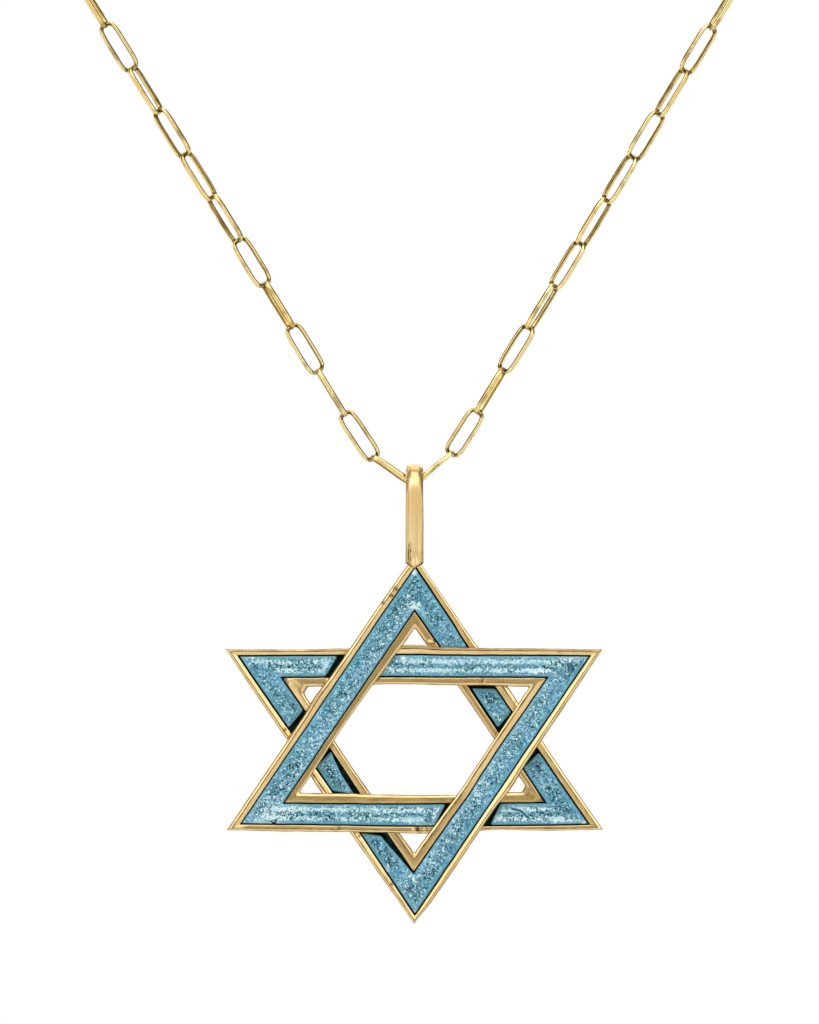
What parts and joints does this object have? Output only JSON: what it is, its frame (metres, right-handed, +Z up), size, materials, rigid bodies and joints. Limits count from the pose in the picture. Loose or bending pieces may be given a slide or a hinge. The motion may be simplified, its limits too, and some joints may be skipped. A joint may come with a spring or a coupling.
{
  "type": "star of david pendant necklace",
  "caption": "Enamelled gold pendant of two interlaced triangles, hanging by a strap bail from a paperclip link chain worn round the neck.",
  "frame": {"origin": "where the chain rests on the nape, at the middle of the wearer's back of the neck", "axes": "+Z up, +Y backwards towards the nape, so the pendant hangs in front at -Y and faces -Y; +X to the right as seen from the front"},
  "size_m": [0.1211, 0.0967, 0.1408],
  "materials": {
    "gold": "polished yellow gold",
    "enamel": "glossy granular blue enamel"
  },
  "bodies": {
    "chain": {"chain_left": "gold", "chain_right": "gold", "clasp": "gold"},
    "pendant": {"star_frame": "gold", "enamel_up_long": "enamel", "enamel_up_side": "enamel", "enamel_up_corner": "enamel", "enamel_down_long": "enamel", "enamel_down_side": "enamel", "enamel_down_corner": "enamel"}
  },
  "joints": [
    {"name": "pendant_swing", "type": "hinge", "parent": "chain", "child": "pendant", "pos_m": [0.00028, -0.094, -0.09718], "axis": [1, 0, 0], "range_deg": [-90, 90]}
  ]
}
